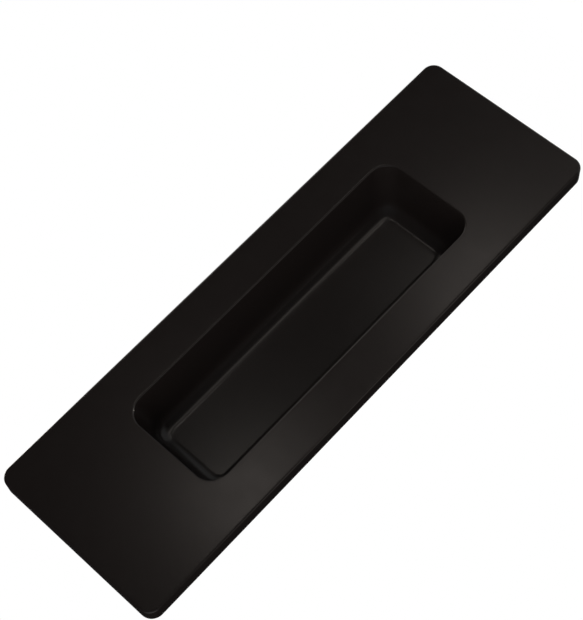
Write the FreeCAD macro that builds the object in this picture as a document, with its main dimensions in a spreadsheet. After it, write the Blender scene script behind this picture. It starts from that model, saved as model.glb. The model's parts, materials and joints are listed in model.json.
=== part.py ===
import FreeCAD, Part
import os
import Sketcher

# Pocket door pull, a die-cast finger pocket for a sliding door, with its two fixing screws.
# The row stands as fitted: the length runs up along Z, the width along X, the face looks towards -Y.
# The plane y = 0 is the back of the rim, which lies on the door. Sizes are in millimetres, drafts in degrees.

SIZES = [
    ("plate_length", 150.0, "faceplate from end to end"),
    ("plate_width", 48.8, "faceplate from side to side"),
    ("plate_height", 4.7, "how far the face stands off the door"),
    ("plate_corner", 3.2, "radius of the faceplate's corners"),
    ("face_round", 0.6, "radius round the edge of the face"),
    ("skin", 2.0, "wall left between the face and the hollow of the back"),
    ("rim_wall", 2.2, "width of the rim that lies on the door"),
    ("tray_corner", 1.6, "radius in the corners of the hollow of the back"),
    ("mouth_length", 90.0, "mouth of the finger pocket, along the plate"),
    ("mouth_width", 28.0, "mouth of the finger pocket, across the plate"),
    ("pocket_depth", 15.0, "from the face down to the pocket's floor"),
    ("end_draft", 11.0, "lean of the pocket's end walls"),
    ("side_draft", 9.5, "lean of the pocket's side walls"),
    ("pocket_corner", 5.0, "radius in the pocket's four upright corners"),
    ("lip_round", 0.5, "radius round the pocket's mouth"),
    ("floor_round", 4.0, "radius between the pocket's floor and walls"),
    ("cup_wall", 1.8, "wall of the cup behind the pocket"),
    ("cup_edge", 1.2, "radius round the back of the cup"),
    ("root_round", 1.0, "radius where the cup and posts rise from the plate"),
    ("post_beyond", 2.0, "from the end of the mouth out to the middle of the screw post"),
    ("post_radius", 3.8, "screw post, outside"),
    ("post_flank", 7.6, "straight flanks that run the posts into the cup"),
    ("post_drop", 0.3, "how far the posts stop short of the round of the cup's back"),
    ("tap_radius", 2.05, "tapped hole in the post, at the root of the thread"),
    ("tap_depth", 8.5, "depth of the tapped hole"),
    ("tap_mouth", 0.7, "chamfer round the mouth of the tapped hole"),
    ("thread_clearance", 0.1, "play between the screw and the tapped hole, on the radius"),
    ("screw_bite", 7.5, "how far the screw is turned into the post"),
    ("screw_reach", 32.5, "from the post to the underside of the screw's head"),
    ("screw_tip", 0.5, "chamfer at the screw's tip"),
    ("thread_length", 28.0, "threaded part of the screw, from the tip"),
    ("shank_radius", 1.75, "plain part of the screw, between the thread and the head"),
    ("head_radius", 4.7, "screw head"),
    ("head_height", 2.6, "screw head, underside to crown"),
    ("head_rim", 0.5, "straight edge of the screw head"),
    ("recess_span", 4.6, "cross recess, tip to tip"),
    ("recess_slot", 1.0, "width of the cross recess's wings"),
    ("recess_depth", 1.7, "depth of the cross recess"),
    ("recess_draft", 12.0, "lean of the cross recess's walls"),
]

# How near two lengths count as the same when an edge is picked.
NEAR = 0.01

# Levels of sketches parallel to the door, counted from the plane y = 0 towards the viewer.
FACE = "sizes.plate_height"
INSIDE_SKIN = "sizes.plate_height - sizes.skin / 2"
CUP_BACK = "sizes.plate_height - sizes.pocket_depth - sizes.cup_wall"
POST_TOP = CUP_BACK + " + sizes.cup_edge + sizes.post_drop"
CROWN = "(" + POST_TOP + " - sizes.screw_reach - sizes.head_height)"
POST_Z = "(sizes.mouth_length / 2 + sizes.post_beyond)"


def fill_sheet(doc):
    """The sheet of driving sizes; every feature below takes its numbers from it."""
    sheet = doc.addObject("Spreadsheet::Sheet", "sizes")
    sheet.Label = "sizes"
    for row, (alias, value, meaning) in enumerate(SIZES, 1):
        sheet.set("A%d" % row, alias)
        sheet.set("B%d" % row, str(value))
        sheet.set("C%d" % row, meaning)
        sheet.setAlias("B%d" % row, alias)
    doc.recompute()
    return dict((alias, float(value)) for alias, value, meaning in SIZES)


def post_height(size):
    """How far the screw posts reach behind the plane y = 0."""
    cup_back = size["pocket_depth"] + size["cup_wall"] - size["plate_height"]
    return cup_back - size["cup_edge"] - size["post_drop"]


def new_body(doc, name):
    """An empty body, named as its file, that stands where the finished piece does."""
    body = doc.addObject("PartDesign::Body", name)
    body.Label = name
    body.Placement = FreeCAD.Placement()
    return body


def post_place(size):
    """How far the middle of a screw post is from the middle of the plate."""
    return size["mouth_length"] / 2 + size["post_beyond"]


def origin_plane(body, role):
    """The body's own origin plane or axis with this role."""
    return [feature for feature in body.Origin.OriginFeatures if feature.Role == role][0]


def new_sketch(body, name, role, level):
    """An empty sketch on an origin plane, moved along the plane's normal to a level."""
    sketch = body.newObject("Sketcher::SketchObject", name)
    sketch.AttachmentSupport = [(origin_plane(body, role), "")]
    sketch.MapMode = "FlatFace"
    if level:
        sketch.setExpression(".AttachmentOffset.Base.z", level)
    return sketch


def bind(sketch, kind, first, first_end, second, second_end, value, name, expression):
    """A named distance between two points of a sketch, driven by the sheet."""
    index = sketch.addConstraint(
        Sketcher.Constraint(kind, first, first_end, second, second_end, value)
    )
    sketch.renameConstraint(index, name)
    sketch.setExpression("Constraints." + name, expression)


def chain(sketch, points):
    """A closed line through points given as (number, expression, number, expression)."""
    spots = [FreeCAD.Vector(point[0], point[2], 0) for point in points]
    count = len(spots)
    for i in range(count):
        sketch.addGeometry(Part.LineSegment(spots[i], spots[(i + 1) % count]), False)
    for i in range(count):
        sketch.addConstraint(Sketcher.Constraint("Coincident", i, 2, (i + 1) % count, 1))
    for i, (x, across, y, along) in enumerate(points):
        bind(sketch, "DistanceX", -1, 1, i, 1, x, "across%d" % i, across)
        bind(sketch, "DistanceY", -1, 1, i, 1, y, "along%d" % i, along)


def rectangle(body, name, level, width, length, size):
    """A rectangle about the origin in a plane parallel to the door."""
    sketch = new_sketch(body, name, "XZ_Plane", level)
    half_width = size[0] / 2
    half_length = size[1] / 2
    right = "(" + width + ") / 2"
    top = "(" + length + ") / 2"
    left = "-" + right
    bottom = "-" + top
    chain(sketch, [
        (-half_width, left, -half_length, bottom),
        (half_width, right, -half_length, bottom),
        (half_width, right, half_length, top),
        (-half_width, left, half_length, top),
    ])
    return sketch


def circles(body, name, level, radius, radius_now, place_now):
    """Two circles, one at each screw post."""
    sketch = new_sketch(body, name, "XZ_Plane", level)
    for i, (end, sign) in enumerate((("upper", 1), ("lower", -1))):
        centre = FreeCAD.Vector(0, sign * place_now, 0)
        sketch.addGeometry(Part.Circle(centre, FreeCAD.Vector(0, 0, 1), radius_now), False)
        sketch.addConstraint(Sketcher.Constraint("PointOnObject", i, 3, -2))
        along = POST_Z if sign > 0 else "-" + POST_Z
        bind(sketch, "DistanceY", -1, 1, i, 3, sign * place_now, end + "_place", along)
        index = sketch.addConstraint(Sketcher.Constraint("Radius", i, radius_now))
        sketch.renameConstraint(index, end + "_radius")
        sketch.setExpression("Constraints." + end + "_radius", radius)
    return sketch


def boss_outlines(body, size):
    """The two screw posts in plan: round at the outer end, with straight flanks into the cup."""
    sketch = new_sketch(body, "post_outlines", "XZ_Plane", INSIDE_SKIN)
    radius = size["post_radius"]
    centre = post_place(size)
    root = centre - size["post_flank"]
    root_at = "(" + POST_Z + " - sizes.post_flank)"
    for start, sign, mark in ((0, 1, ""), (4, -1, "-")):
        spots = [
            (-radius, "-sizes.post_radius", sign * centre, mark + POST_Z),
            (-radius, "-sizes.post_radius", sign * root, mark + root_at),
            (radius, "sizes.post_radius", sign * root, mark + root_at),
            (radius, "sizes.post_radius", sign * centre, mark + POST_Z),
        ]
        places = [FreeCAD.Vector(spot[0], spot[2], 0) for spot in spots]
        for i in range(3):
            sketch.addGeometry(Part.LineSegment(places[i], places[i + 1]), False)
        crown = FreeCAD.Vector(0, sign * (centre + radius), 0)
        sketch.addGeometry(Part.Arc(places[3], crown, places[0]), False)
        first, last = (1, 2) if sign > 0 else (2, 1)
        for i in range(2):
            sketch.addConstraint(Sketcher.Constraint("Coincident", start + i, 2, start + i + 1, 1))
        sketch.addConstraint(Sketcher.Constraint("Coincident", start + 3, first, start + 2, 2))
        sketch.addConstraint(Sketcher.Constraint("Coincident", start + 3, last, start, 1))
        for i, (x, across, y, along) in enumerate(spots):
            line = start + min(i, 2)
            end = 1 if i < 3 else 2
            bind(sketch, "DistanceX", -1, 1, line, end, x, "across%d" % (start + i), across)
            bind(sketch, "DistanceY", -1, 1, line, end, y, "along%d" % (start + i), along)
        bind(sketch, "DistanceY", -1, 1, start + 3, 3, sign * centre, "centre%d" % start, mark + POST_Z)
    return sketch


def pad(body, kind, name, sketch, length, backwards):
    """A pad or pocket of a sketch; backwards turns it towards +Y."""
    feature = body.newObject("PartDesign::" + kind, name)
    feature.Profile = sketch
    feature.setExpression("Length", length)
    feature.Reversed = backwards
    return feature


def round_edges(body, kind, name, base, wanted, size, expression):
    """A fillet or chamfer on the edges of the last feature that the test picks."""
    body.Document.recompute()
    names = [
        "Edge%d" % number
        for number, edge in enumerate(base.Shape.Edges, 1)
        if wanted(edge)
    ]
    if not names:
        raise RuntimeError(name + " finds no edge")
    feature = body.newObject("PartDesign::" + kind, name)
    feature.Base = (base, names)
    feature.setExpression(size, expression)
    body.Document.recompute()
    return feature


def lies_at(edge, y):
    """Whether the whole edge lies in the plane at y."""
    box = edge.BoundBox
    return abs(box.YMin - y) < NEAR and abs(box.YMax - y) < NEAR


def is_ring(edge, y, radius):
    """Whether an edge is a whole circle of this radius in the plane at y."""
    whole = edge.Curve.TypeId == "Part::GeomCircle" and edge.isClosed()
    return whole and lies_at(edge, y) and abs(edge.Curve.Radius - radius) < NEAR


def is_upright(edge, low, high):
    """Whether a straight edge runs from y = low to y = high."""
    box = edge.BoundBox
    straight = edge.Curve.TypeId == "Part::GeomLine"
    return straight and abs(box.YMin - low) < NEAR and abs(box.YMax - high) < NEAR


def reaches(edge, half_width, half_length):
    """Whether an edge gets out to this half width or half length."""
    box = edge.BoundBox
    across = max(abs(box.XMin), abs(box.XMax))
    along = max(abs(box.ZMin), abs(box.ZMax))
    return across > half_width or along > half_length


def drafted_block(body, name, top, depth, wall):
    """A block whose side and end walls lean in from one depth below the face to another."""
    block = body.newObject("PartDesign::AdditiveWedge", name)
    lean = " - 2 * tan(sizes.%s * 1deg) * (%s) + 2 * (%s)"
    for corner, at in (("", top), ("2", depth)):
        width = "(sizes.mouth_width" + lean % ("side_draft", at, wall) + ") / 2"
        length = "(sizes.mouth_length" + lean % ("end_draft", at, wall) + ") / 2"
        block.setExpression("X" + corner + "max", width)
        block.setExpression("X" + corner + "min", "-" + width)
        block.setExpression("Z" + corner + "max", length)
        block.setExpression("Z" + corner + "min", "-" + length)
    block.setExpression("Ymin", "(" + top + ") - sizes.plate_height")
    block.setExpression("Ymax", "(" + depth + ") - sizes.plate_height")
    return block


def build_plate(body, size):
    """The faceplate, with its rounded corners and the hollow of its back."""
    face = -size["plate_height"]
    outline = rectangle(
        body, "plate_outline", "", "sizes.plate_width", "sizes.plate_length",
        (size["plate_width"], size["plate_length"]),
    )
    slab = pad(body, "Pad", "plate_slab", outline, FACE, False)
    corners = round_edges(
        body, "Fillet", "plate_corners", slab,
        lambda edge: is_upright(edge, face, 0.0),
        "Radius", "sizes.plate_corner",
    )
    tray_width = size["plate_width"] - 2 * size["rim_wall"]
    tray_length = size["plate_length"] - 2 * size["rim_wall"]
    hollow = rectangle(
        body, "tray_outline", "",
        "sizes.plate_width - 2 * sizes.rim_wall", "sizes.plate_length - 2 * sizes.rim_wall",
        (tray_width, tray_length),
    )
    tray = pad(body, "Pocket", "tray", hollow, "sizes.plate_height - sizes.skin", True)
    body.Document.recompute()
    if tray.Shape.Volume >= corners.Shape.Volume:
        raise RuntimeError("the tray is not cut into the back")
    return round_edges(
        body, "Fillet", "tray_corners", tray,
        lambda edge: is_upright(edge, size["skin"] - size["plate_height"], 0.0)
        and not reaches(edge, tray_width / 2 + NEAR, tray_length / 2 + NEAR),
        "Radius", "sizes.tray_corner",
    )


def build_cup(body, size):
    """The outside of the cup behind the pocket, still solid, with the fillet round its foot."""
    cup = drafted_block(
        body, "cup", "sizes.skin / 2", "sizes.pocket_depth + sizes.cup_wall", "sizes.cup_wall"
    )
    tray_floor = size["skin"] - size["plate_height"]
    cup_level = size["pocket_depth"] + size["cup_wall"] - size["plate_height"]
    corners = round_edges(
        body, "Fillet", "cup_corners", cup,
        lambda edge: is_upright(edge, tray_floor, cup_level),
        "Radius", "sizes.pocket_corner + sizes.cup_wall",
    )
    back = round_edges(
        body, "Fillet", "cup_back_edge", corners,
        lambda edge: lies_at(edge, cup_level),
        "Radius", "sizes.cup_edge",
    )
    limit_across = size["plate_width"] / 2 - size["rim_wall"] - size["tray_corner"] - NEAR
    limit_along = size["plate_length"] / 2 - size["rim_wall"] - size["tray_corner"] - NEAR
    return round_edges(
        body, "Fillet", "cup_foot", back,
        lambda edge: lies_at(edge, tray_floor) and not reaches(edge, limit_across, limit_along),
        "Radius", "sizes.root_round",
    )


def build_posts(body, size):
    """The two screw posts, run into the ends of the cup."""
    sketch = boss_outlines(body, size)
    height = "sizes.plate_height - sizes.skin / 2 - (" + POST_TOP + ")"
    pad(body, "Pad", "posts", sketch, height, True)


def build_core(doc, size):
    """The finger pocket as the block that forms it: drafted, corners rounded, floor edge rounded."""
    core = new_body(doc, "pocket_core")
    block = drafted_block(core, "pocket_block", "0", "sizes.pocket_depth", "0")
    face = -size["plate_height"]
    floor_level = size["pocket_depth"] - size["plate_height"]
    corners = round_edges(
        core, "Fillet", "pocket_corners", block,
        lambda edge: is_upright(edge, face, floor_level),
        "Radius", "sizes.pocket_corner",
    )
    round_edges(
        core, "Fillet", "pocket_floor_edge", corners,
        lambda edge: lies_at(edge, floor_level),
        "Radius", "sizes.floor_round",
    )
    return core


def cut_pocket(body, core):
    """Takes the finger pocket out of the face, through the plate, cup and posts."""
    pocket = body.newObject("PartDesign::Boolean", "pocket")
    pocket.Type = "Cut"
    pocket.setObjects([core])
    body.Document.recompute()
    return pocket


def build_edges(body, base, size):
    """The rounds that the hand meets: the pocket's lip and the edge of the face."""
    face = -size["plate_height"]
    midway_across = (size["mouth_width"] + size["plate_width"]) / 4
    midway_along = (size["mouth_length"] + size["plate_length"]) / 4
    lip = round_edges(
        body, "Fillet", "pocket_lip", base,
        lambda edge: lies_at(edge, face) and not reaches(edge, midway_across, midway_along),
        "Radius", "sizes.lip_round",
    )
    return round_edges(
        body, "Fillet", "face_edge", lip,
        lambda edge: lies_at(edge, face) and reaches(edge, midway_across, midway_along),
        "Radius", "sizes.face_round",
    )


def build_taps(body, size):
    """The tapped hole in each post, with a chamfered mouth."""
    sketch = circles(
        body, "tap_circles", POST_TOP, "sizes.tap_radius",
        size["tap_radius"], post_place(size),
    )
    taps = pad(body, "Pocket", "taps", sketch, "sizes.tap_depth", True)
    body.Document.recompute()
    if taps.Shape.Volume >= taps.BaseFeature.Shape.Volume:
        raise RuntimeError("the tapped holes are not cut into the posts")
    post_level = post_height(size)
    return round_edges(
        body, "Chamfer", "tap_mouths", taps,
        lambda edge: is_ring(edge, post_level, size["tap_radius"]),
        "Size", "sizes.tap_mouth",
    )


def build_pull(doc, size):
    """The cast pull: faceplate, cup, posts, pocket and tapped holes, all one solid."""
    body = new_body(doc, "pull_body")
    build_plate(body, size)
    build_cup(body, size)
    build_posts(body, size)
    pocket = cut_pocket(body, build_core(doc, size))
    build_edges(body, pocket, size)
    build_taps(body, size)
    return body


def screw_profile(body, size):
    """Half the section of the upper screw, in the plane x = 0: first along Y, then along Z."""
    sketch = new_sketch(body, "screw_section", "YZ_Plane", "")
    post = post_height(size)
    axis = post_place(size)
    thread = size["tap_radius"] - size["thread_clearance"]
    shank = size["shank_radius"]
    tip = post - size["screw_bite"]
    thread_end = tip + size["thread_length"]
    seat = post + size["screw_reach"]
    crown = seat + size["head_height"]
    chamfer = size["screw_tip"]
    head = size["head_radius"]
    rim = size["head_rim"]
    post_at = "-(" + POST_TOP + ")"
    tip_at = post_at + " - sizes.screw_bite"
    seat_at = post_at + " + sizes.screw_reach"
    crown_at = seat_at + " + sizes.head_height"
    end_at = tip_at + " + sizes.thread_length"
    thread_at = POST_Z + " + sizes.tap_radius - sizes.thread_clearance"
    shank_at = POST_Z + " + sizes.shank_radius"
    step_at = " - (sizes.tap_radius - sizes.thread_clearance - sizes.shank_radius)"
    head_at = POST_Z + " + sizes.head_radius"
    spots = [
        (crown, crown_at, axis, POST_Z),
        (tip, tip_at, axis, POST_Z),
        (tip, tip_at, axis + thread - chamfer, thread_at + " - sizes.screw_tip"),
        (tip + chamfer, tip_at + " + sizes.screw_tip", axis + thread, thread_at),
        (thread_end - (thread - shank), end_at + step_at, axis + thread, thread_at),
        (thread_end, end_at, axis + shank, shank_at),
        (seat, seat_at, axis + shank, shank_at),
        (seat, seat_at, axis + head, head_at),
        (seat + rim, seat_at + " + sizes.head_rim", axis + head, head_at),
    ]
    last = len(spots) - 1
    places = [FreeCAD.Vector(spot[0], spot[2], 0) for spot in spots]
    for i in range(last):
        sketch.addGeometry(Part.LineSegment(places[i], places[i + 1]), False)
    rise = size["head_height"] - rim
    radius = (head * head + rise * rise) / (2 * rise)
    middle = FreeCAD.Vector(crown - radius, axis, 0)
    half = places[last] + places[0]
    outward = (half * 0.5 - middle).normalize() * radius
    sketch.addGeometry(Part.Arc(places[0], middle + outward, places[last]), False)
    for i in range(last - 1):
        sketch.addConstraint(Sketcher.Constraint("Coincident", i, 2, i + 1, 1))
    sketch.addConstraint(Sketcher.Constraint("Coincident", last, 1, 0, 1))
    sketch.addConstraint(Sketcher.Constraint("Coincident", last, 2, last - 1, 2))
    for i, (x, across, y, along) in enumerate(spots):
        line = min(i, last - 1)
        end = 1 if i < last else 2
        bind(sketch, "DistanceX", -1, 1, line, end, x, "out%d" % i, across)
        bind(sketch, "DistanceY", -1, 1, line, end, y, "up%d" % i, along)
    bind(sketch, "DistanceY", -1, 1, last, 3, axis, "dome_centre", POST_Z)
    return sketch


def cross_recess(body, size):
    """The cross recess in the upper screw's head."""
    sketch = new_sketch(body, "recess_outline", "XZ_Plane", CROWN)
    wing = size["recess_span"] / 2
    slot = size["recess_slot"] / 2
    axis = post_place(size)
    turns = [
        (-slot, wing), (slot, wing), (slot, slot), (wing, slot), (wing, -slot), (slot, -slot),
        (slot, -wing), (-slot, -wing), (-slot, -slot), (-wing, -slot), (-wing, slot), (-slot, slot),
    ]
    names = {
        wing: "sizes.recess_span / 2",
        slot: "sizes.recess_slot / 2",
        -wing: "-sizes.recess_span / 2",
        -slot: "-sizes.recess_slot / 2",
    }
    chain(sketch, [
        (x, names[x], axis + z, POST_Z + " + (" + names[z] + ")") for x, z in turns
    ])
    recess = pad(body, "Pocket", "recess", sketch, "sizes.recess_depth", True)
    recess.setExpression("TaperAngle", "-sizes.recess_draft * 1deg")
    return recess


def build_screws(doc, size):
    """The two fixing screws: one is turned and recessed, the other is its mirror image."""
    body = new_body(doc, "fixing_screws")
    body.AllowCompound = True
    sketch = screw_profile(body, size)
    turned = body.newObject("PartDesign::Revolution", "screw")
    turned.Profile = sketch
    turned.ReferenceAxis = (sketch, ["Edge1"])
    turned.Angle = 360.0
    doc.recompute()
    recess = cross_recess(body, size)
    doc.recompute()
    if recess.Shape.Volume >= turned.Shape.Volume:
        raise RuntimeError("the recess is not cut into the head")
    pair = body.newObject("PartDesign::Mirrored", "screw_pair")
    pair.Originals = [turned, recess]
    pair.MirrorPlane = (origin_plane(body, "XY_Plane"), [""])
    body.Tip = pair
    return body


def check(doc):
    """Stops the build when anything in the document is broken."""
    for item in doc.Objects:
        if "Invalid" in item.State or "Error" in item.State:
            raise RuntimeError(item.Name + " is " + ", ".join(item.State))


def write_piece(body, solids):
    """Writes one sub-part, after a look at its shape."""
    shape = body.Shape
    if shape.isNull() or not shape.isValid():
        raise RuntimeError(body.Label + " has no sound shape")
    if len(shape.Solids) != solids:
        raise RuntimeError(body.Label + " has %d solids" % len(shape.Solids))
    shape.exportStep(os.path.join("parts", body.Label + ".step"))


def main():
    """Builds the pull and its screws and writes one file for each."""
    os.makedirs("parts", exist_ok=True)
    doc = FreeCAD.newDocument("pocket_door_pull")
    size = fill_sheet(doc)
    pull = build_pull(doc, size)
    screws = build_screws(doc, size)
    doc.recompute()
    check(doc)
    write_piece(pull, 1)
    write_piece(screws, 2)


main()
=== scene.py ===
import json
import math

import bmesh
import bpy
from mathutils import Matrix, Vector


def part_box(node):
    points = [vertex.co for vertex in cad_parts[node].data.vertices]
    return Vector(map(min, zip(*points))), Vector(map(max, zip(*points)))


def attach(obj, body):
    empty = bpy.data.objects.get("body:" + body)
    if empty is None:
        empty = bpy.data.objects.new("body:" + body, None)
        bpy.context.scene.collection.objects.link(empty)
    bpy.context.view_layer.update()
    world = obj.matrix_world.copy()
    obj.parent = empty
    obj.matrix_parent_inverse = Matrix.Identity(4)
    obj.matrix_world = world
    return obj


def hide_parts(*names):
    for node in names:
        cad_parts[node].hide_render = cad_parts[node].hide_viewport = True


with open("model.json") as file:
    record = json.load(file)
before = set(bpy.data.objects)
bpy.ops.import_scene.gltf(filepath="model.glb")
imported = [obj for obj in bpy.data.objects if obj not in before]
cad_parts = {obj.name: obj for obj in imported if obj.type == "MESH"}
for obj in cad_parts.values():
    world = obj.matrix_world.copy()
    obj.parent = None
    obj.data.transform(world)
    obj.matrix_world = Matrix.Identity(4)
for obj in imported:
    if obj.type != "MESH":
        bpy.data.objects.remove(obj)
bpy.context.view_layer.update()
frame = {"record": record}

bl_info = {
    "name": "Pocket Door Pull",
    "version": (1, 0, 0),
    "blender": (4, 5, 0),
    "location": "View3D > Sidebar > Door Pull",
    "description": "A flush pull for a sliding door, with its fixing screws and a plain studio",
    "category": "Object",
}

MM = 0.001

# The places that the frame gives: the boxes of both CAD pieces and the pitch of the screws.
PULL_LOW, PULL_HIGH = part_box("pull_body")
SCREW_LOW, SCREW_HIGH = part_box("fixing_screws")
STUDS = [mount for mount in frame["record"]["mounts"] if mount["name"] == "screw_studs"][0]
FACE_LEVEL = PULL_LOW.y
CUP_LEVEL = PULL_HIGH.y
POST_PLACE = STUDS["dims"]["spacing_y_mm"] * MM / 2
SHANK_RADIUS = STUDS["dims"]["stud_r_mm"] * MM

# The lamps: name, azimuth and elevation in degrees, distance, width and height in millimetres,
# and watts.
SOFTBOXES = (
    ("low_lamp", 13.3, -26.2, 500, 45, 45, 0.0212),
    ("front_lamp", 15.3, -6.7, 500, 45, 45, 0.0255),
    ("end_panel", 8.0, -37.0, 500, 120, 120, 0.0105),
    ("near_panel", -3.0, -17.0, 500, 105, 270, 0.07),
    ("left_panel", -80.0, -17.0, 500, 350, 230, 0.13),
    ("right_panel", 65.0, -17.0, 500, 350, 230, 0.28),
    ("low_glint", -70.0, -60.0, 500, 30, 30, 0.40),
    ("back_lamp", 120.0, 10.0, 700, 350, 350, 2.2),
)

LAMP_COLOUR = (1.0, 0.92, 0.85)

# What a gloss sees of the room: azimuth, elevation, spread in degrees, share at full level, level.
ROOM_GLOWS = (
    (0.0, -90.0, 62.0, 0.73, 0.30),
    (118.0, -17.0, 38.0, 0.5, 0.60),
    (-105.0, 40.0, 42.0, 0.5, 0.50),
)

# The share of its spread over which any other patch of the room is at its full level.
PATCH_CORE = 0.5

# How finely rounds, holes and screws are drawn.
CORNER_STEPS = 12
ROUND_STEPS = 7
HOLE_SIDES = 48
THREAD_SIDES = 32
THREAD_COLUMNS = 8
DOME_ROWS = 10

# Edges that turn by more than this stay sharp, and flat faces lead the shading of round ones.
SHARP_ANGLE = math.radians(35.0)
FLAT_FACE_WEIGHT = 80

# How far a cutting tool stands out of the surface that it cuts.
TOOL_CLEARANCE = 1.0 * MM

# A face that looks backwards more squarely than this is no wall of a tapped hole.
SQUARELY_BACK = 0.9

# The screws: how far their recesses are turned, the flat share of the thread's crest and of its
# root, the turns over which the thread runs out, the share of the tip's chamfer that the flat
# end is smaller than the root, and how much of its width the recess loses towards its bottom.
SCREW_TURN = math.radians(37.0)
CREST_SHARE = 0.12
RUN_OUT_TURNS = 2.0
TIP_SHARE = 0.6
RECESS_TAPER = 0.42

# Points of a screw that lie closer together than this are made one.
WELD_DISTANCE = 0.004 * MM

# The span in which a noise mostly lies.
NOISE_LOW = 0.3
NOISE_HIGH = 0.7

# The studio's floor, and what the camera sees added to the lit paper to bring it to white.
FLOOR_RADIUS = 100.0 * MM
FLOOR_SIDES = 96
PAPER_GLOW = 0.72

# The camera's sensor in millimetres, and how near and how far it sees in metres.
SENSOR_WIDTH = 36.0
CLIP_START = 0.01
CLIP_END = 20.0


def length(name, description, millimetres):
    """A size of the object that the sidebar shows."""
    return bpy.props.FloatProperty(
        name=name,
        description=description,
        default=millimetres * MM,
        min=0.0,
        unit="LENGTH",
        subtype="DISTANCE",
        precision=5,
    )


def angle(name, description, degrees):
    """An angle that the sidebar shows."""
    return bpy.props.FloatProperty(
        name=name, description=description, default=math.radians(degrees), subtype="ANGLE"
    )


def colour(name, description, value):
    """A colour that the sidebar shows."""
    return bpy.props.FloatVectorProperty(
        name=name, description=description, default=value, size=3, min=0.0, max=1.0, subtype="COLOR"
    )


def share(name, description, value, most=1.0):
    """A plain number that the sidebar shows."""
    return bpy.props.FloatProperty(
        name=name, description=description, default=value, min=0.0, max=most
    )


class PullSizes(bpy.types.PropertyGroup):
    """Sizes of the cast pull that its box in the frame doesn't give."""

    plate_corner: length("Plate corner", "Radius of the faceplate's corners", 3.2)
    face_round: length("Face round", "Radius round the edge of the face", 0.6)
    skin: length("Skin", "Wall between the face and the hollow of the back", 2.0)
    rim_wall: length("Rim wall", "Width of the rim that lies on the door", 2.2)
    tray_corner: length("Tray corner", "Radius in the corners of the hollow back", 1.6)
    mouth_length: length("Mouth length", "Mouth of the finger pocket along the plate", 90.0)
    mouth_width: length("Mouth width", "Mouth of the finger pocket across the plate", 28.0)
    pocket_depth: length("Pocket depth", "From the face to the pocket's floor", 15.0)
    end_draft: angle("End draft", "Lean of the pocket's end walls", 11.0)
    side_draft: angle("Side draft", "Lean of the pocket's side walls", 9.5)
    pocket_corner: length("Pocket corner", "Radius in the pocket's upright corners", 5.0)
    lip_round: length("Lip round", "Radius round the pocket's mouth", 0.5)
    floor_round: length("Floor round", "Radius between the pocket's floor and walls", 4.0)
    cup_edge: length("Cup edge", "Radius round the back of the cup", 1.2)
    root_round: length("Root round", "Radius where the cup rises from the plate", 1.0)
    post_radius: length("Post radius", "Outside radius of a screw post", 3.8)
    post_drop: length("Post drop", "How far the posts stop short of the cup's edge round", 0.3)
    tap_radius: length("Tapped hole", "Radius of the hole that the screw is turned into", 2.05)
    tap_depth: length("Hole depth", "Depth of the tapped hole", 8.5)
    tap_mouth: length("Hole chamfer", "Chamfer round the mouth of the tapped hole", 0.7)
    cast_edge: length("Cast edge", "The small round that casting leaves on a sharp edge", 0.15)


class ScrewSizes(bpy.types.PropertyGroup):
    """Sizes of the fixing screws that the frame doesn't give."""

    thread_radius: length("Thread", "Radius over the crests of the thread", 1.95)
    root_radius: length("Thread root", "Radius at the root of the thread", 1.6)
    thread_pitch: length("Pitch", "Distance from one turn of the thread to the next", 0.7)
    thread_length: length("Thread length", "Threaded part of the screw from its tip", 28.0)
    tip_chamfer: length("Tip chamfer", "Chamfer at the screw's tip", 0.5)
    head_height: length("Head height", "From the underside of the head to its crown", 2.56)
    head_rim: length("Head rim", "Straight edge of the head", 0.5)
    recess_span: length("Recess span", "Cross recess from tip to tip", 4.6)
    recess_slot: length("Recess slot", "Width of the wings of the cross recess", 1.0)
    recess_depth: length("Recess depth", "Depth of the cross recess", 1.7)


class Finishes(bpy.types.PropertyGroup):
    """Colours and textures of the surfaces."""

    coat: colour("Coat", "Colour of the black satin coat", (0.0078, 0.0060, 0.0055))
    coat_roughness: share("Coat roughness", "How much the coat blurs a reflection", 0.235)
    peel: length("Peel", "Size of the ripples that spraying leaves in the coat", 1.6)
    steel: colour("Screw", "Colour of the plated screw", (0.60, 0.585, 0.56))
    zinc: colour("Zinc", "Colour of the bare casting in the tapped hole", (0.42, 0.42, 0.43))
    paper: colour("Paper", "Colour of the studio's floor", (0.35, 0.35, 0.35))


class Studio(bpy.types.PropertyGroup):
    """The camera at the photograph's angle, the floor and the light."""

    azimuth: angle("Azimuth", "Where the camera stands round the object", -21.88)
    elevation: angle("Elevation", "How high the camera stands", 17.13)
    roll: angle("Roll", "How far the camera is turned about its line of sight", -134.77)
    distance: length("Distance", "From the camera to the face of the plate", 351.8)
    aim_across: bpy.props.FloatProperty(
        name="Aim across", description="Where the line of sight meets the face, along X",
        default=2.96 * MM, unit="LENGTH", precision=5,
    )
    aim_along: bpy.props.FloatProperty(
        name="Aim along", description="Where the line of sight meets the face, along Z",
        default=0.81 * MM, unit="LENGTH", precision=5,
    )
    lens: bpy.props.FloatProperty(
        name="Lens", description="Focal length for a sensor of 36 mm along the longer side",
        default=87.3, unit="CAMERA",
    )
    floor_drop: length("Floor", "How far the floor lies below the held pull", 90.0)
    world_level: share("World", "Strength of the even light from all round", 0.15)
    front_level: share(
        "Front light", "Strength of the soft light from in front and above", 2.1, most=10.0
    )
    front_azimuth: angle("Front azimuth", "Where the soft light stands round the object", -50.0)
    front_elevation: angle("Front elevation", "How high the soft light stands", 40.0)
    front_spread: angle("Front spread", "How far the soft light reaches round", 55.0)
    room_glow: share("Room glow", "What a gloss sees of the room, away from the white sheet", 0.008)
    sheet_spread: angle("White sheet", "How far the white behind the pull reaches round", 20.0)


def sizes():
    """The sizes of the cast pull."""
    return bpy.context.scene.pull_sizes


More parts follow.
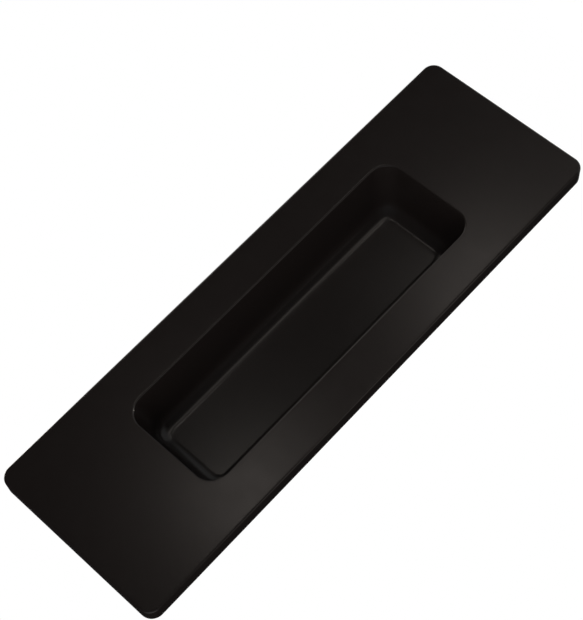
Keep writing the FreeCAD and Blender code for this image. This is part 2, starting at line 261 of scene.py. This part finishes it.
def finishes():
    """The colours and textures."""
    return bpy.context.scene.pull_finishes


# Meshes


def mesh_object(name, build):
    """A new object whose mesh a function fills with bmesh."""
    mesh = bpy.data.meshes.new(name)
    work = bmesh.new()
    build(work)
    work.to_mesh(mesh)
    work.free()
    piece = bpy.data.objects.new(name, mesh)
    bpy.context.scene.collection.objects.link(piece)
    return piece


def rounded_ring(half_across, half_along, across_radius, along_radius, level):
    """The points of a rounded rectangle in a plane parallel to the door, counted round from +X."""
    points = []
    for quarter in range(4):
        side = 1 if quarter in (0, 3) else -1
        end = 1 if quarter in (0, 1) else -1
        for step in range(CORNER_STEPS + 1):
            turn = math.radians(90.0) * (quarter + step / CORNER_STEPS)
            across = side * (half_across - across_radius) + across_radius * math.cos(turn)
            along = end * (half_along - along_radius) + along_radius * math.sin(turn)
            points.append((across, level, along))
    return points


def skin_rings(work, rings):
    """Skins closed rings of points one after the other and closes both ends with a face."""
    loops = [[work.verts.new(point) for point in ring] for ring in rings]
    count = len(loops[0])
    for below, above in zip(loops, loops[1:]):
        for i in range(count):
            j = (i + 1) % count
            work.faces.new((below[i], below[j], above[j], above[i]))
    work.faces.new(loops[0])
    work.faces.new(loops[-1])
    bmesh.ops.recalc_face_normals(work, faces=work.faces)


def wall_inset(depth, height, draft, near, far):
    """How far a drafted wall stands in at a depth, with a round at its near and at its far edge."""
    lean = math.tan(draft)
    near_reach = near * math.tan((math.pi / 2 - draft) / 2)
    far_reach = far * math.tan((math.pi / 2 - draft) / 2)
    if depth < near * (1 - math.sin(draft)):
        return math.sqrt(near ** 2 - (near - depth) ** 2) - near_reach
    left = height - depth
    if left < far * (1 - math.sin(draft)):
        return height * lean + far_reach - math.sqrt(far ** 2 - (far - left) ** 2)
    return depth * lean


def wall_depths(height, draft, near, far):
    """The depths at which a drafted wall is drawn, close together on its two rounds."""
    sweep = math.pi / 2 - draft
    rounds = [sweep * step / ROUND_STEPS for step in range(ROUND_STEPS + 1)]
    upper = [near * (1 - math.cos(turn)) for turn in rounds]
    lower = [height - far * (1 - math.cos(turn)) for turn in reversed(rounds)]
    return upper + lower


def drafted_wall(half_across, half_along, corner, start, height, near, far):
    """The rings of a four-sided wall that leans in on its way back from a level."""
    size = sizes()
    gentlest = min(size.side_draft, size.end_draft)
    rings = []
    for depth in wall_depths(height, gentlest, near, far):
        across = wall_inset(depth, height, size.side_draft, near, far)
        along = wall_inset(depth, height, size.end_draft, near, far)
        across_radius = corner - across + depth * math.tan(size.side_draft)
        along_radius = corner - along + depth * math.tan(size.end_draft)
        rings.append(rounded_ring(
            half_across - across, half_along - along, across_radius, along_radius, start + depth
        ))
    return rings


def plate_ring(inset, level, corner):
    """A ring at a distance inside the outline of the faceplate."""
    half_across = PULL_HIGH.x - inset
    half_along = PULL_HIGH.z - inset
    return rounded_ring(half_across, half_along, corner, corner, level)


def quarter_round(radius, level, towards, inset, inwards, corner):
    """Rings of a quarter round that leaves a flat face and ends on an upright one."""
    rings = []
    for step in range(ROUND_STEPS + 1):
        turn = math.pi / 2 * step / ROUND_STEPS
        out = radius * math.sin(turn)
        drop = radius * (1 - math.cos(turn))
        away = inset + inwards * (out - radius)
        rings.append(plate_ring(away, level + towards * drop, corner - away))
    return rings


def cup_wall():
    """How thick the cup is behind the pocket's floor, and round it."""
    return CUP_LEVEL - FACE_LEVEL - sizes().pocket_depth


def shell_rings():
    """All rings of the cast body: from the pocket's floor over the face and the rim to the cup."""
    size = sizes()
    wall = cup_wall()
    half_width = size.mouth_width / 2
    half_length = size.mouth_length / 2
    pocket = drafted_wall(
        half_width, half_length, size.pocket_corner,
        FACE_LEVEL, size.pocket_depth, size.lip_round, size.floor_round,
    )
    edge = size.cast_edge
    corner = size.plate_corner
    face = quarter_round(size.face_round, FACE_LEVEL, 1, 0.0, -1, corner)
    rim_outside = quarter_round(edge, 0.0, -1, 0.0, -1, corner)
    tray_level = FACE_LEVEL + size.skin
    tray_corner = size.tray_corner + size.rim_wall
    rim_inside = quarter_round(edge, 0.0, -1, size.rim_wall, 1, tray_corner)
    tray_floor = quarter_round(edge, tray_level, 1, size.rim_wall, -1, tray_corner)
    cup = drafted_wall(
        half_width + wall - size.skin * math.tan(size.side_draft),
        half_length + wall - size.skin * math.tan(size.end_draft),
        size.pocket_corner + wall,
        tray_level, CUP_LEVEL - tray_level, size.root_round, size.cup_edge,
    )
    return pocket[::-1] + face + rim_outside[::-1] + rim_inside + tray_floor[::-1] + cup


def build_shell(work):
    """The cast body without its posts."""
    skin_rings(work, shell_rings())


def post_level():
    """Where the posts end behind the door's plane."""
    size = sizes()
    return CUP_LEVEL - size.cup_edge - size.post_drop


def build_post(work, end):
    """One screw post: round outside, straight flanks, its root inside the wall of the cup."""
    size = sizes()
    edge = size.cast_edge
    top = post_level()
    levels = [(FACE_LEVEL + size.skin / 2, 0.0)]
    for step in range(ROUND_STEPS + 1):
        turn = math.pi / 2 * step / ROUND_STEPS
        levels.append((top - edge * (1 - math.sin(turn)), edge * (1 - math.cos(turn))))
    rings = []
    for level, inset in levels:
        lean = (level - FACE_LEVEL) * math.tan(size.end_draft)
        root = size.mouth_length / 2 + cup_wall() / 2 - lean
        side = size.post_radius - inset
        ring = [(side, level, end * root)]
        for step in range(2 * CORNER_STEPS + 1):
            turn = math.pi * step / (2 * CORNER_STEPS)
            ring.append((side * math.cos(turn), level, end * (POST_PLACE + side * math.sin(turn))))
        ring.append((-side, level, end * root))
        rings.append(ring)
    skin_rings(work, rings)


def build_drill(work, end):
    """What the tapped hole takes away: a flat-bottomed hole with a chamfer round its mouth."""
    size = sizes()
    top = post_level()
    radius = size.tap_radius
    mouth = size.tap_mouth
    profile = (
        (top - size.tap_depth, radius),
        (top - mouth, radius),
        (top + TOOL_CLEARANCE, radius + mouth + TOOL_CLEARANCE),
    )
    rings = []
    for level, reach in profile:
        ring = []
        for step in range(HOLE_SIDES):
            turn = 2 * math.pi * step / HOLE_SIDES
            ring.append((reach * math.cos(turn), level, end * POST_PLACE + reach * math.sin(turn)))
        rings.append(ring)
    skin_rings(work, rings)


def combine(piece, tool, operation):
    """Joins a tool to a piece or cuts it out, and removes the tool."""
    modifier = piece.modifiers.new("combine", "BOOLEAN")
    modifier.operation = operation
    modifier.solver = "EXACT"
    modifier.object = tool
    bake(piece)
    mesh = tool.data
    bpy.data.objects.remove(tool)
    bpy.data.meshes.remove(mesh)


def bake(piece):
    """Turns an object with modifiers into a plain mesh."""
    depsgraph = bpy.context.evaluated_depsgraph_get()
    mesh = bpy.data.meshes.new_from_object(
        piece.evaluated_get(depsgraph), preserve_all_data_layers=True, depsgraph=depsgraph
    )
    old = piece.data
    piece.modifiers.clear()
    piece.data = mesh
    bpy.data.meshes.remove(old)


def smooth(piece):
    """Smooth shading that keeps sharp edges sharp and flat faces flat."""
    for polygon in piece.data.polygons:
        polygon.use_smooth = True
    piece.data.set_sharp_from_angle(angle=SHARP_ANGLE)
    weigh = piece.modifiers.new("weigh", "WEIGHTED_NORMAL")
    weigh.keep_sharp = True
    weigh.weight = FLAT_FACE_WEIGHT
    bake(piece)


def ride_as(piece, node):
    """Makes a piece stand for its CAD node: hides the node and hangs the piece on the root body."""
    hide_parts(node)
    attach(piece, "root")


class PULL_OT_cast_body(bpy.types.Operator):
    """Make the cast pull: faceplate, finger pocket, cup and screw posts in one piece"""

    bl_idname = "object.pull_cast_body"
    bl_label = "Cast Pull"

    def execute(self, context):
        pull = mesh_object("cast_pull", build_shell)
        for end in (1, -1):
            combine(pull, mesh_object("post", lambda work: build_post(work, end)), "UNION")
        for end in (1, -1):
            combine(pull, mesh_object("drill", lambda work: build_drill(work, end)), "DIFFERENCE")
        smooth(pull)
        pull.data.materials.clear()
        pull.data.materials.append(satin_coat())
        pull.data.materials.append(bare_zinc())
        mark_holes(pull)
        ride_as(pull, "pull_body")
        return {"FINISHED"}


def mark_holes(pull):
    """Gives the walls of the tapped holes the bare metal."""
    size = sizes()
    reach = size.tap_radius + size.tap_mouth + size.cast_edge
    top = post_level()
    for polygon in pull.data.polygons:
        spot = polygon.center
        near_axis = math.hypot(spot.x, abs(spot.z) - POST_PLACE) < reach
        inside = top - size.tap_depth - TOOL_CLEARANCE < spot.y < top
        is_wall = polygon.normal.y < SQUARELY_BACK
        polygon.material_index = 1 if near_axis and inside and is_wall else 0


# Screws


def feed(tree, socket, value):
    """Links a node's result to a socket, or sets a plain number there."""
    if isinstance(value, bpy.types.NodeSocket):
        tree.links.new(value, socket)
    else:
        socket.default_value = value


class Maths:
    """Writes chains of math nodes from sockets and numbers."""

    def __init__(self, tree):
        self.tree = tree

    def node(self, operation, *values, clamp=False):
        """One math node, and its result."""
        node = self.tree.nodes.new("ShaderNodeMath")
        node.operation = operation
        node.use_clamp = clamp
        for socket, value in zip(node.inputs, values):
            feed(self.tree, socket, value)
        return node.outputs[0]

    def add(self, first, second):
        return self.node("ADD", first, second)

    def subtract(self, first, second):
        return self.node("SUBTRACT", first, second)

    def multiply(self, first, second):
        return self.node("MULTIPLY", first, second)

    def divide(self, first, second):
        return self.node("DIVIDE", first, second)

    def blend(self, start, end, part):
        """From start to end as part goes from 0 to 1."""
        return self.add(start, self.multiply(self.subtract(end, start), part))

    def smaller(self, first, second):
        return self.node("MINIMUM", first, second)

    def larger(self, first, second):
        return self.node("MAXIMUM", first, second)

    def ramp(self, value, start, width):
        """0 before start, 1 after start plus width."""
        return self.node("DIVIDE", self.subtract(value, start), width, clamp=True)


def screw_tree():
    """The Geometry Nodes tree of the two screws, with its sizes as named inputs."""
    tree = bpy.data.node_groups.new("fixing screw pair", "GeometryNodeTree")
    face = tree.interface
    face.new_socket("Geometry", in_out="OUTPUT", socket_type="NodeSocketGeometry")
    for name in (
        "Tip", "Seat", "Place", "Thread Radius", "Root Radius", "Pitch", "Thread Length",
        "Tip Chamfer", "Shank Radius", "Head Radius", "Head Height", "Head Rim",
        "Recess Span", "Recess Slot", "Recess Depth",
    ):
        face.new_socket(name, in_out="INPUT", socket_type="NodeSocketFloat")
    face.new_socket("Finish", in_out="INPUT", socket_type="NodeSocketMaterial")
    given = tree.nodes.new("NodeGroupInput").outputs
    screw = one_screw(tree, given)
    pair = tree.nodes.new("GeometryNodeJoinGeometry")
    for end in (1, -1):
        place = tree.nodes.new("ShaderNodeCombineXYZ")
        tree.links.new(Maths(tree).multiply(given["Place"], end), place.inputs["Z"])
        copy = tree.nodes.new("GeometryNodeTransform")
        tree.links.new(screw, copy.inputs["Geometry"])
        tree.links.new(place.outputs[0], copy.inputs["Translation"])
        copy.inputs["Rotation"].default_value = (0.0, SCREW_TURN * end, 0.0)
        tree.links.new(copy.outputs[0], pair.inputs[0])
    real = tree.nodes.new("GeometryNodeRealizeInstances")
    tree.links.new(pair.outputs[0], real.inputs[0])
    finish = tree.nodes.new("GeometryNodeSetMaterial")
    tree.links.new(real.outputs[0], finish.inputs["Geometry"])
    tree.links.new(given["Finish"], finish.inputs["Material"])
    done = tree.nodes.new("NodeGroupOutput")
    tree.links.new(finish.outputs[0], done.inputs["Geometry"])
    return tree


def place_parts(tree):
    """The X, Y and Z of each point."""
    spot = tree.nodes.new("GeometryNodeInputPosition")
    parts = tree.nodes.new("ShaderNodeSeparateXYZ")
    tree.links.new(spot.outputs[0], parts.inputs[0])
    return parts.outputs


def placed(tree, geometry, across, level, along):
    """The geometry with its points put where three fields say."""
    place = tree.nodes.new("ShaderNodeCombineXYZ")
    for axis, value in zip("XYZ", (across, level, along)):
        tree.links.new(value, place.inputs[axis])
    moved = tree.nodes.new("GeometryNodeSetPosition")
    tree.links.new(geometry, moved.inputs["Geometry"])
    tree.links.new(place.outputs[0], moved.inputs["Position"])
    return moved.outputs[0]


def turned_sheet(tree, columns, rows, radius_of, level_of, turn_count=1):
    """A sheet wound about the Y axis; its radius and level are given by (turns, part) fields."""
    maths = Maths(tree)
    grid = tree.nodes.new("GeometryNodeMeshGrid")
    for name, value in (
        ("Size X", 1.0), ("Size Y", 1.0), ("Vertices X", columns), ("Vertices Y", rows),
    ):
        feed(tree, grid.inputs[name], value)
    parts = place_parts(tree)
    turns = maths.multiply(maths.add(parts["X"], 0.5), turn_count)
    part = maths.add(parts["Y"], 0.5)
    radius = radius_of(turns, part)
    turned = maths.multiply(turns, 2 * math.pi)
    return placed(
        tree, grid.outputs["Mesh"],
        maths.multiply(radius, maths.node("COSINE", turned)),
        level_of(turns, part),
        maths.multiply(radius, maths.node("SINE", turned)),
    )


def tip_radius(maths, given):
    """The radius of the screw's flat tip."""
    return maths.subtract(given["Root Radius"], maths.multiply(given["Tip Chamfer"], TIP_SHARE))


def thread_sheet(tree, given):
    """The threaded part: one strip, a pitch wide, wound up the screw and closed at both ends."""
    maths = Maths(tree)
    # One turn more than the length holds: what lies past an end is pressed flat onto the end's
    # plane, and closes the helix there.
    turns_needed = maths.add(maths.divide(given["Thread Length"], given["Pitch"]), 1.0)
    turn_count = maths.node("CEIL", turns_needed)
    columns = maths.add(maths.multiply(turn_count, THREAD_SIDES), 1.0)
    start = maths.subtract(given["Tip"], maths.multiply(given["Pitch"], 0.5))
    finish = maths.add(given["Tip"], given["Thread Length"])
    flank_share = 1.0 - 2.0 * CREST_SHARE

    def level(turns, part):
        climbed = maths.multiply(given["Pitch"], maths.add(turns, maths.subtract(part, 0.5)))
        held = maths.larger(maths.add(start, climbed), given["Tip"])
        return maths.smaller(held, finish)

    def radius(turns, part):
        height = level(turns, part)
        off_crest = maths.multiply(maths.node("ABSOLUTE", maths.subtract(part, 0.5)), 2.0)
        above_root = maths.subtract(1.0 - CREST_SHARE, off_crest)
        flank = maths.node("DIVIDE", above_root, flank_share, clamp=True)
        begun = maths.ramp(height, maths.add(given["Tip"], given["Tip Chamfer"]), given["Pitch"])
        crest = maths.blend(given["Root Radius"], given["Thread Radius"], begun)
        cut = maths.blend(given["Root Radius"], crest, flank)
        run_out = maths.multiply(given["Pitch"], RUN_OUT_TURNS)
        ended = maths.ramp(height, maths.subtract(finish, run_out), run_out)
        full = maths.blend(cut, given["Shank Radius"], ended)
        cone = maths.ramp(height, given["Tip"], given["Tip Chamfer"])
        tip = tip_radius(maths, given)
        return maths.smaller(full, maths.blend(tip, given["Thread Radius"], cone))

    return turned_sheet(tree, columns, THREAD_COLUMNS + 1, radius, level, turn_count)


def band(tree, first, second, rows=2, bulge=None):
    """A turned band between two (radius, level) pairs; a bulge gives the level by the radius."""
    maths = Maths(tree)

    def radius(turns, part):
        return maths.blend(first[0], second[0], part)

    def level(turns, part):
        if bulge is None:
            return maths.blend(first[1], second[1], part)
        return bulge(radius(turns, part))

    return turned_sheet(tree, THREAD_SIDES + 1, rows, radius, level)


def one_screw(tree, given):
    """One screw about the Y axis: thread, shank, domed head and cross recess."""
    maths = Maths(tree)
    thread_end = maths.add(given["Tip"], given["Thread Length"])
    rim = maths.add(given["Seat"], given["Head Rim"])
    crown = maths.add(given["Seat"], given["Head Height"])
    rise = maths.subtract(given["Head Height"], given["Head Rim"])
    head = given["Head Radius"]
    dome = maths.divide(
        maths.add(maths.multiply(head, head), maths.multiply(rise, rise)),
        maths.multiply(rise, 2.0),
    )
    shank = given["Shank Radius"]
    tip = tip_radius(maths, given)

    def on_dome(radius):
        squared = maths.subtract(maths.multiply(dome, dome), maths.multiply(radius, radius))
        return maths.add(maths.subtract(crown, dome), maths.node("SQRT", squared))

    bands = [
        band(tree, (0.0, given["Tip"]), (tip, given["Tip"])),
        thread_sheet(tree, given),
        band(tree, (shank, thread_end), (shank, given["Seat"])),
        band(tree, (shank, given["Seat"]), (head, given["Seat"])),
        band(tree, (head, given["Seat"]), (head, rim)),
        band(tree, (head, rim), (0.0, crown), DOME_ROWS, on_dome),
    ]
    joined = tree.nodes.new("GeometryNodeJoinGeometry")
    for sheet in bands:
        tree.links.new(sheet, joined.inputs[0])
    cut = tree.nodes.new("GeometryNodeMeshBoolean")
    cut.operation = "DIFFERENCE"
    cut.solver = "EXACT"
    tree.links.new(merged(tree, joined.outputs[0]), cut.inputs[0])
    tree.links.new(cross_cutter(tree, given, crown), cut.inputs[1])
    flat_faces = tree.nodes.new("GeometryNodeTriangulate")
    tree.links.new(merged(tree, cut.outputs[0]), flat_faces.inputs[0])
    return flat_faces.outputs[0]


def merged(tree, geometry):
    """The geometry with points that fall together made one."""
    merge = tree.nodes.new("GeometryNodeMergeByDistance")
    merge.inputs["Distance"].default_value = WELD_DISTANCE
    tree.links.new(geometry, merge.inputs["Geometry"])
    return merge.outputs[0]


def cross_cutter(tree, given, crown):
    """The cross that the recess is pressed with: two blades that narrow towards their points."""
    maths = Maths(tree)
    blades = tree.nodes.new("GeometryNodeMeshBoolean")
    blades.operation = "UNION"
    blades.solver = "EXACT"
    for across, along in (("Recess Span", "Recess Slot"), ("Recess Slot", "Recess Span")):
        cube = tree.nodes.new("GeometryNodeMeshCube")
        parts = place_parts(tree)
        deep = maths.subtract(0.5, parts["Y"])
        narrow = maths.subtract(1.0, maths.multiply(deep, RECESS_TAPER))
        height = maths.add(given["Recess Depth"], TOOL_CLEARANCE)
        blade = placed(
            tree, cube.outputs["Mesh"],
            maths.multiply(maths.multiply(parts["X"], given[across]), narrow),
            maths.subtract(maths.add(crown, TOOL_CLEARANCE), maths.multiply(deep, height)),
            maths.multiply(maths.multiply(parts["Z"], given[along]), narrow),
        )
        tree.links.new(blade, blades.inputs[1])
    return blades.outputs[0]


class PULL_OT_screws(bpy.types.Operator):
    """Make the two fixing screws, threaded, with domed heads and cross recesses"""

    bl_idname = "object.pull_screws"
    bl_label = "Fixing Screws"

    def execute(self, context):
        size = context.scene.screw_sizes
        screws = mesh_object("threaded_screws", lambda work: None)
        nodes = screws.modifiers.new("screws", "NODES")
        nodes.node_group = screw_tree()
        values = {
            "Tip": SCREW_LOW.y,
            "Seat": SCREW_HIGH.y - size.head_height,
            "Place": POST_PLACE,
            "Thread Radius": size.thread_radius,
            "Root Radius": size.root_radius,
            "Pitch": size.thread_pitch,
            "Thread Length": size.thread_length,
            "Tip Chamfer": size.tip_chamfer,
            "Shank Radius": SHANK_RADIUS,
            "Head Radius": SCREW_HIGH.x,
            "Head Height": size.head_height,
            "Head Rim": size.head_rim,
            "Recess Span": size.recess_span,
            "Recess Slot": size.recess_slot,
            "Recess Depth": size.recess_depth,
            "Finish": plated_steel(),
        }
        for item in nodes.node_group.interface.items_tree:
            if item.in_out == "INPUT":
                nodes[item.identifier] = values[item.name]
        bake(screws)
        smooth(screws)
        ride_as(screws, "fixing_screws")
        return {"FINISHED"}


# Materials


def new_material(name):
    """A node material, with its tree and its surface shader."""
    material = bpy.data.materials.new(name)
    material.use_nodes = True
    return material, material.node_tree, material.node_tree.nodes["Principled BSDF"]


def noise(tree, scale, detail):
    """A noise on the object's own coordinates, in waves for each metre."""
    place = tree.nodes.new("ShaderNodeTexCoord")
    node = tree.nodes.new("ShaderNodeTexNoise")
    node.inputs["Scale"].default_value = scale
    node.inputs["Detail"].default_value = detail
    tree.links.new(place.outputs["Object"], node.inputs["Vector"])
    return node.outputs["Fac"]


def between(tree, value, low, high):
    """A number that follows a noise between two ends."""
    node = tree.nodes.new("ShaderNodeMapRange")
    node.inputs["From Min"].default_value = NOISE_LOW
    node.inputs["From Max"].default_value = NOISE_HIGH
    node.inputs["To Min"].default_value = low
    node.inputs["To Max"].default_value = high
    tree.links.new(value, node.inputs["Value"])
    return node.outputs["Result"]


def bumps(tree, shader, layers):
    """Stacks bumps of (height field, depth in metres) on a shader."""
    last = None
    for field, depth in layers:
        node = tree.nodes.new("ShaderNodeBump")
        node.inputs["Distance"].default_value = depth
        tree.links.new(field, node.inputs["Height"])
        if last is not None:
            tree.links.new(last, node.inputs["Normal"])
        last = node.outputs["Normal"]
    tree.links.new(last, shader.inputs["Normal"])


def satin_coat():
    """Black satin spray coat: faint ripples, a fine grain and a slightly uneven gloss."""
    finish = finishes()
    material, tree, shader = new_material("black satin coat")
    lighter = [1.15 * part for part in finish.coat]
    mix = tree.nodes.new("ShaderNodeMix")
    mix.data_type = "RGBA"
    mix.inputs["A"].default_value = (*finish.coat, 1.0)
    mix.inputs["B"].default_value = (*lighter, 1.0)
    tree.links.new(noise(tree, scale=60.0, detail=2.0), mix.inputs["Factor"])
    tree.links.new(mix.outputs["Result"], shader.inputs["Base Color"])
    unevenness = 0.01
    gloss = between(
        tree, noise(tree, scale=240.0, detail=3.0),
        finish.coat_roughness - unevenness, finish.coat_roughness + unevenness,
    )
    tree.links.new(gloss, shader.inputs["Roughness"])
    ripple = noise(tree, scale=1.0 / finish.peel, detail=1.5)
    grain = noise(tree, scale=6.0 / finish.peel, detail=3.0)
    bumps(tree, shader, [(ripple, 0.0012 * MM), (grain, 0.0004 * MM)])
    return material


def bare_zinc():
    """The casting where the tap has cut it."""
    material, tree, shader = new_material("bare cut zinc")
    shader.inputs["Base Color"].default_value = (*finishes().zinc, 1.0)
    shader.inputs["Metallic"].default_value = 1.0
    marks = noise(tree, scale=900.0, detail=2.0)
    tree.links.new(between(tree, marks, 0.3, 0.45), shader.inputs["Roughness"])
    return material


def plated_steel():
    """Bright plated steel, a little cloudy, with fine marks from rolling."""
    material, tree, shader = new_material("bright plated steel")
    shader.inputs["Base Color"].default_value = (*finishes().steel, 1.0)
    shader.inputs["Metallic"].default_value = 0.85
    cloud = noise(tree, scale=500.0, detail=2.0)
    tree.links.new(between(tree, cloud, 0.20, 0.28), shader.inputs["Roughness"])
    marks = noise(tree, scale=1500.0, detail=2.0)
    bumps(tree, shader, [(marks, 0.0008 * MM)])
    return material


def paper_floor():
    """Plain pale paper: white to the camera, but for the object's shadow."""
    material, tree, shader = new_material("plain pale paper")
    shader.inputs["Base Color"].default_value = (*finishes().paper, 1.0)
    shader.inputs["Roughness"].default_value = 0.9
    shader.inputs["Specular IOR Level"].default_value = 0.1
    glow = tree.nodes.new("ShaderNodeEmission")
    glow.inputs["Strength"].default_value = PAPER_GLOW
    both = tree.nodes.new("ShaderNodeAddShader")
    tree.links.new(shader.outputs[0], both.inputs[0])
    tree.links.new(glow.outputs[0], both.inputs[1])
    rays = tree.nodes.new("ShaderNodeLightPath")
    choose = tree.nodes.new("ShaderNodeMixShader")
    tree.links.new(rays.outputs["Is Camera Ray"], choose.inputs["Fac"])
    tree.links.new(shader.outputs[0], choose.inputs[1])
    tree.links.new(both.outputs[0], choose.inputs[2])
    tree.links.new(choose.outputs[0], tree.nodes["Material Output"].inputs["Surface"])
    return material


# Studio


def add_floor(studio):
    """A round sheet of paper below the held pull."""
    place = Matrix.Translation((0, 0, PULL_LOW.z - studio.floor_drop))

    def build(work):
        bmesh.ops.create_circle(
            work, cap_ends=True, radius=FLOOR_RADIUS, segments=FLOOR_SIDES, matrix=place
        )

    floor = mesh_object("paper_floor", build)
    floor.data.materials.append(paper_floor())


def add_world(studio):
    """Soft light from the front; white behind everything, and a dim room for a gloss to mirror."""
    world = bpy.data.worlds.new("studio")
    bpy.context.scene.world = world
    world.use_nodes = True
    tree = world.node_tree
    ground = tree.nodes["Background"]
    soft_light = patch(
        tree, away_from(studio.front_azimuth, studio.front_elevation),
        studio.front_spread, PATCH_CORE, studio.world_level, studio.front_level,
    )
    maths = Maths(tree)
    behind = away_from(studio.azimuth, studio.elevation) * -1.0
    room = patch(tree, behind, studio.sheet_spread, PATCH_CORE, studio.room_glow, 1.0)
    for azimuth, elevation, spread, core, level in ROOM_GLOWS:
        direction = away_from(math.radians(azimuth), math.radians(elevation))
        glow = patch(tree, direction, math.radians(spread), core, studio.room_glow, level)
        room = maths.larger(room, glow)
    rays = tree.nodes.new("ShaderNodeLightPath")
    straight = maths.larger(rays.outputs["Is Camera Ray"], rays.outputs["Is Transmission Ray"])
    gloss = tree.nodes.new("ShaderNodeMix")
    tree.links.new(rays.outputs["Is Glossy Ray"], gloss.inputs["Factor"])
    tree.links.new(soft_light, gloss.inputs["A"])
    tree.links.new(room, gloss.inputs["B"])
    seen = tree.nodes.new("ShaderNodeMix")
    tree.links.new(straight, seen.inputs["Factor"])
    tree.links.new(gloss.outputs["Result"], seen.inputs["A"])
    seen.inputs["B"].default_value = 1.0
    tree.links.new(seen.outputs["Result"], ground.inputs["Strength"])
    ground.inputs["Color"].default_value = (1.0, 1.0, 1.0, 1.0)


def patch(tree, direction, spread, core, around, within):
    """A round patch of the world, at its full level over the core's share of its spread."""
    spot = tree.nodes.new("ShaderNodeTexCoord")
    facing = tree.nodes.new("ShaderNodeVectorMath")
    facing.operation = "DOT_PRODUCT"
    tree.links.new(spot.outputs["Generated"], facing.inputs[0])
    facing.inputs[1].default_value = direction
    level = tree.nodes.new("ShaderNodeMapRange")
    level.interpolation_type = "SMOOTHSTEP"
    level.inputs["From Min"].default_value = math.cos(spread)
    level.inputs["From Max"].default_value = math.cos(spread * core)
    level.inputs["To Min"].default_value = around
    level.inputs["To Max"].default_value = within
    tree.links.new(facing.outputs["Value"], level.inputs["Value"])
    return level.outputs["Result"]


def away_from(azimuth, elevation):
    """The direction from the pull to something that stands at an azimuth and an elevation."""
    return Vector((
        math.sin(azimuth) * math.cos(elevation),
        -math.cos(azimuth) * math.cos(elevation),
        math.sin(elevation),
    ))


def add_softbox(name, azimuth, elevation, distance, across, tall, watts):
    """A rectangular lamp that faces the middle of the plate."""
    data = bpy.data.lights.new(name, "AREA")
    data.shape = "RECTANGLE"
    data.size = across * MM
    data.size_y = tall * MM
    data.energy = watts
    data.color = LAMP_COLOUR
    lamp = bpy.data.objects.new(name, data)
    direction = away_from(math.radians(azimuth), math.radians(elevation))
    lamp.location = direction * distance * MM
    lamp.rotation_euler = (-direction).to_track_quat("-Z", "Y").to_euler()
    lamp.visible_camera = False
    bpy.context.scene.collection.objects.link(lamp)


def add_camera(studio):
    """The camera where the photograph was taken from."""
    data = bpy.data.cameras.new("camera")
    data.sensor_width = SENSOR_WIDTH
    data.lens = studio.lens
    data.clip_start = CLIP_START
    data.clip_end = CLIP_END
    camera = bpy.data.objects.new("camera", data)
    back = away_from(studio.azimuth, studio.elevation)
    aim = Vector((studio.aim_across, FACE_LEVEL, studio.aim_along))
    turn = (-back).to_track_quat("-Z", "Y").to_matrix()
    camera.matrix_world = (
        Matrix.Translation(aim + back * studio.distance)
        @ turn.to_4x4()
        @ Matrix.Rotation(studio.roll, 4, "Z")
    )
    bpy.context.scene.collection.objects.link(camera)
    bpy.context.scene.camera = camera


class PULL_OT_stage(bpy.types.Operator):
    """Set up the plain floor, the soft light and the camera"""

    bl_idname = "scene.pull_stage"
    bl_label = "Studio"

    def execute(self, context):
        studio = context.scene.pull_studio
        add_floor(studio)
        add_world(studio)
        for lamp in SOFTBOXES:
            add_softbox(*lamp)
        add_camera(studio)
        context.scene.view_settings.view_transform = "Standard"
        return {"FINISHED"}


class PULL_PT_sidebar(bpy.types.Panel):
    """The door pull's pieces and sizes"""

    bl_label = "Door Pull"
    bl_idname = "PULL_PT_sidebar"
    bl_space_type = "VIEW_3D"
    bl_region_type = "UI"
    bl_category = "Door Pull"

    def draw(self, context):
        layout = self.layout
        for operator in (PULL_OT_cast_body, PULL_OT_screws, PULL_OT_stage):
            layout.operator(operator.bl_idname)
        for group in (
            context.scene.pull_sizes, context.scene.screw_sizes,
            context.scene.pull_finishes, context.scene.pull_studio,
        ):
            box = layout.box()
            for name in group.__annotations__:
                box.prop(group, name)


CLASSES = (
    PullSizes, ScrewSizes, Finishes, Studio,
    PULL_OT_cast_body, PULL_OT_screws, PULL_OT_stage, PULL_PT_sidebar,
)


def register():
    """Adds the sizes, the operators and the panel."""
    for cls in CLASSES:
        bpy.utils.register_class(cls)
    bpy.types.Scene.pull_sizes = bpy.props.PointerProperty(type=PullSizes)
    bpy.types.Scene.screw_sizes = bpy.props.PointerProperty(type=ScrewSizes)
    bpy.types.Scene.pull_finishes = bpy.props.PointerProperty(type=Finishes)
    bpy.types.Scene.pull_studio = bpy.props.PointerProperty(type=Studio)


def unregister():
    """Takes them away again."""
    for name in ("pull_sizes", "screw_sizes", "pull_finishes", "pull_studio"):
        delattr(bpy.types.Scene, name)
    for cls in reversed(CLASSES):
        bpy.utils.unregister_class(cls)


def main():
    """Makes the pieces and the stage."""
    register()
    bpy.ops.object.pull_cast_body()
    bpy.ops.object.pull_screws()
    bpy.ops.scene.pull_stage()


if __name__ == "__main__":
    main()
